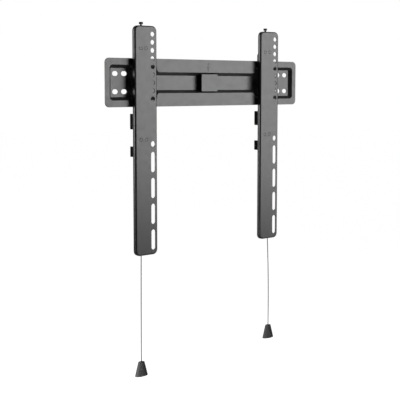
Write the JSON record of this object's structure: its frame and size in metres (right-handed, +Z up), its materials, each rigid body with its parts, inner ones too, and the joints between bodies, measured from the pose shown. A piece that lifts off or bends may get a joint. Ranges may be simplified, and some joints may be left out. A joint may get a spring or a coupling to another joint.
{
  "type": "fixed tv wall bracket",
  "caption": "Slim fixed wall bracket for a tv: pressed wall plate, and tray-shaped arms that slide along it, level by a top screw and unlatch by a pull cord.",
  "frame": {"origin": "middle of the wall plate, on the face that lies on the wall", "axes": "+X along the plate to the right as seen from the room, +Y into the wall, +Z up"},
  "size_m": [0.48, 0.023, 0.6832],
  "materials": {
    "grey_powder_coat": "satin dark-grey powder coat with a fine even grain",
    "black_steel": "black coated steel, matt",
    "dark_zinc": "dark zinc-plated steel",
    "spring_steel": "drawn spring wire",
    "black_plastic": "black moulded plastic",
    "cord": "thin braided dark cord",
    "pull_plastic": "dark grey moulded plastic, satin"
  },
  "bodies": {
    "plate_body": {"wall_plate": "grey_powder_coat", "centre_cap_base": "black_plastic", "centre_cap_face": "grey_powder_coat"},
    "left_hanger": {"hook_bracket_left": "black_steel"},
    "left_screw": {"level_screw_left": "dark_zinc"},
    "left_arm": {"arm_left": "grey_powder_coat", "slide_studs_left": "grey_powder_coat", "level_nut_left": "dark_zinc", "latch_housing_left": "black_steel", "housing_rivets_left": "grey_powder_coat", "latch_studs_left": "dark_zinc", "latch_spring_left": "spring_steel"},
    "left_latch": {"latch_left": "black_steel", "pull_cord_left": "cord", "cord_knots_left": "cord", "cord_pull_left": "pull_plastic"},
    "right_hanger": {"hook_bracket_right": "black_steel"},
    "right_screw": {"level_screw_right": "dark_zinc"},
    "right_arm": {"arm_right": "grey_powder_coat", "slide_studs_right": "grey_powder_coat", "level_nut_right": "dark_zinc", "latch_housing_right": "black_steel", "housing_rivets_right": "grey_powder_coat", "latch_studs_right": "dark_zinc", "latch_spring_right": "spring_steel"},
    "right_latch": {"latch_right": "black_steel", "pull_cord_right": "cord", "cord_knots_right": "cord", "cord_pull_right": "pull_plastic"}
  },
  "joints": [
    {"name": "left_arm_slide", "type": "slide", "parent": "plate_body", "child": "left_hanger", "axis": [1, 0, 0], "range_m": [-0.056, 0.111]},
    {"name": "left_level", "type": "slide", "parent": "left_hanger", "child": "left_arm", "axis": [0, 0, 1], "range_m": [-0.003, 0.0024]},
    {"name": "left_screw_turn", "type": "hinge", "parent": "left_hanger", "child": "left_screw", "pos_m": [-0.1643, -0.015, 0.1], "axis": [0, 0, 1], "range_deg": [-1240, 1550]},
    {"name": "left_latch_pull", "type": "slide", "parent": "left_arm", "child": "left_latch", "axis": [0, 0, 1], "range_m": [-0.011, 0], "stiffness_N_per_m": 300, "springref_m": 0.012, "deforming": ["latch_spring_left"]},
    {"name": "right_arm_slide", "type": "slide", "parent": "plate_body", "child": "right_hanger", "axis": [1, 0, 0], "range_m": [-0.105, 0.062]},
    {"name": "right_level", "type": "slide", "parent": "right_hanger", "child": "right_arm", "axis": [0, 0, 1], "range_m": [-0.003, 0.0024]},
    {"name": "right_screw_turn", "type": "hinge", "parent": "right_hanger", "child": "right_screw", "pos_m": [0.1465, -0.015, 0.1], "axis": [0, 0, 1], "range_deg": [-1240, 1550]},
    {"name": "right_latch_pull", "type": "slide", "parent": "right_arm", "child": "right_latch", "axis": [0, 0, 1], "range_m": [-0.011, 0], "stiffness_N_per_m": 300, "springref_m": 0.012, "deforming": ["latch_spring_right"]}
  ],
  "couplings": [
    {"joint": "left_screw_turn", "follows": "left_level", "rad_per_m": -8976},
    {"joint": "right_screw_turn", "follows": "right_level", "rad_per_m": -8976}
  ]
}
